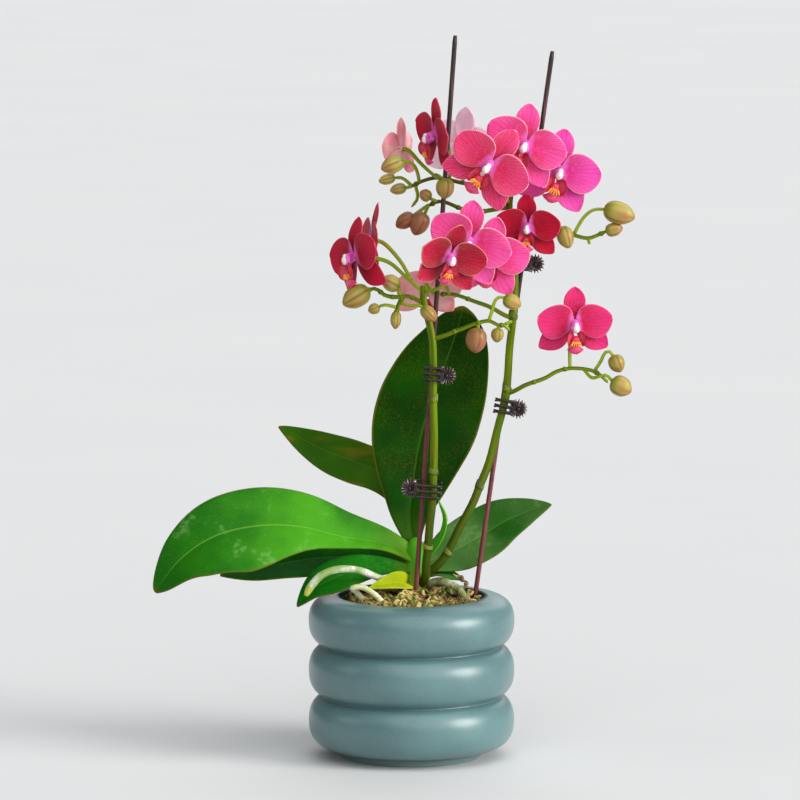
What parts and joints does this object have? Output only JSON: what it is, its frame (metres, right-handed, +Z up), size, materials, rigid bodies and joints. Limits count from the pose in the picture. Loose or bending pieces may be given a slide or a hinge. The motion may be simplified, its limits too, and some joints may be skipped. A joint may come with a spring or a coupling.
{
  "type": "potted moth orchid",
  "caption": "Potted moth orchid: flower spikes clipped to stakes over a fan of leaves, in a round pot of stacked rings.",
  "frame": {"origin": "centre of the pot's flat foot, on the surface that the pot stands on", "axes": "+Z up, +X to the viewer's right, +Y away from the viewer; most blooms face -Y"},
  "size_m": [0.2804, 0.12, 0.4201],
  "materials": {
    "pot_glaze": "satin",
    "moss_and_bark": "matte",
    "crown_green": "satin",
    "leaf_green": "gloss",
    "old_sheath_yellow": "matte",
    "root_silver": "satin",
    "stem_and_bud_green": "satin",
    "petal_pink": "matte",
    "petal_crimson": "matte",
    "lip_red": "satin",
    "stake_brown": "satin",
    "clip_plastic": "gloss",
    "spring_steel": "satin"
  },
  "bodies": {
    "plant": {"pot": "pot_glaze", "moss_bed": "moss_and_bark", "crown_stem": "crown_green", "old_sheath": "old_sheath_yellow", "leaf_a": "leaf_green", "leaf_b": "leaf_green", "leaf_c": "leaf_green", "leaf_d": "leaf_green", "leaf_e": "leaf_green", "leaf_f": "leaf_green", "leaf_g": "leaf_green", "leaf_young": "leaf_green", "root_silver": "root_silver", "root_loop": "root_silver", "root_mossy": "root_silver", "stake_1": "stake_brown", "spike_1": "stem_and_bud_green", "stake_2": "stake_brown", "spike_2": "stem_and_bud_green", "bloom_1_tepals": "petal_pink", "bloom_1_lip": "lip_red", "bloom_2_tepals": "petal_pink", "bloom_2_lip": "lip_red", "bloom_3_tepals": "petal_pink", "bloom_3_lip": "lip_red", "bloom_4_tepals": "petal_crimson", "bloom_4_lip": "lip_red", "bloom_5_tepals": "petal_pink", "bloom_5_lip": "lip_red", "bloom_6_tepals": "petal_crimson", "bloom_6_lip": "lip_red", "bloom_7_tepals": "petal_pink", "bloom_7_lip": "lip_red", "bloom_8_tepals": "petal_crimson", "bloom_8_lip": "lip_red", "bloom_9_tepals": "petal_crimson", "bloom_9_lip": "lip_red", "bloom_10_tepals": "petal_pink", "bloom_10_lip": "lip_red", "bloom_11_tepals": "petal_crimson", "bloom_11_lip": "lip_red", "bloom_12_tepals": "petal_pink", "bloom_12_lip": "lip_red", "bloom_13_tepals": "petal_pink", "bloom_13_lip": "lip_red", "bloom_14_tepals": "petal_pink", "bloom_14_lip": "lip_red", "clip_1_jaw_fixed": "clip_plastic", "clip_1_pin": "spring_steel", "clip_2_jaw_fixed": "clip_plastic", "clip_2_pin": "spring_steel", "clip_3_jaw_fixed": "clip_plastic", "clip_3_pin": "spring_steel", "clip_4_jaw_fixed": "clip_plastic", "clip_4_pin": "spring_steel"},
    "clip_1_jaw": {"clip_1_jaw_moving": "clip_plastic"},
    "clip_2_jaw": {"clip_2_jaw_moving": "clip_plastic"},
    "clip_3_jaw": {"clip_3_jaw_moving": "clip_plastic"},
    "clip_4_jaw": {"clip_4_jaw_moving": "clip_plastic"}
  },
  "joints": [
    {"name": "clip_1_hinge", "type": "hinge", "parent": "plant", "child": "clip_1_jaw", "pos_m": [0.0017, -0.0074, 0.158], "axis": [0.0698, 0, 0.9976], "range_deg": [0, 22], "stiffness_Nm_per_rad": 0.02, "springref_deg": -20.05},
    {"name": "clip_2_hinge", "type": "hinge", "parent": "plant", "child": "clip_2_jaw", "pos_m": [0.0176, -0.0075, 0.224], "axis": [0.0698, 0, 0.9976], "range_deg": [0, 22], "stiffness_Nm_per_rad": 0.02, "springref_deg": -20.05},
    {"name": "clip_3_hinge", "type": "hinge", "parent": "plant", "child": "clip_3_jaw", "pos_m": [0.0594, 0.0114, 0.2025], "axis": [0.1564, 0, 0.9877], "range_deg": [0, 22], "stiffness_Nm_per_rad": 0.02, "springref_deg": -20.05},
    {"name": "clip_4_hinge", "type": "hinge", "parent": "plant", "child": "clip_4_jaw", "pos_m": [0.0691, 0.0115, 0.287], "axis": [0.0523, 0, 0.9986], "range_deg": [0, 22], "stiffness_Nm_per_rad": 0.02, "springref_deg": -20.05}
  ]
}
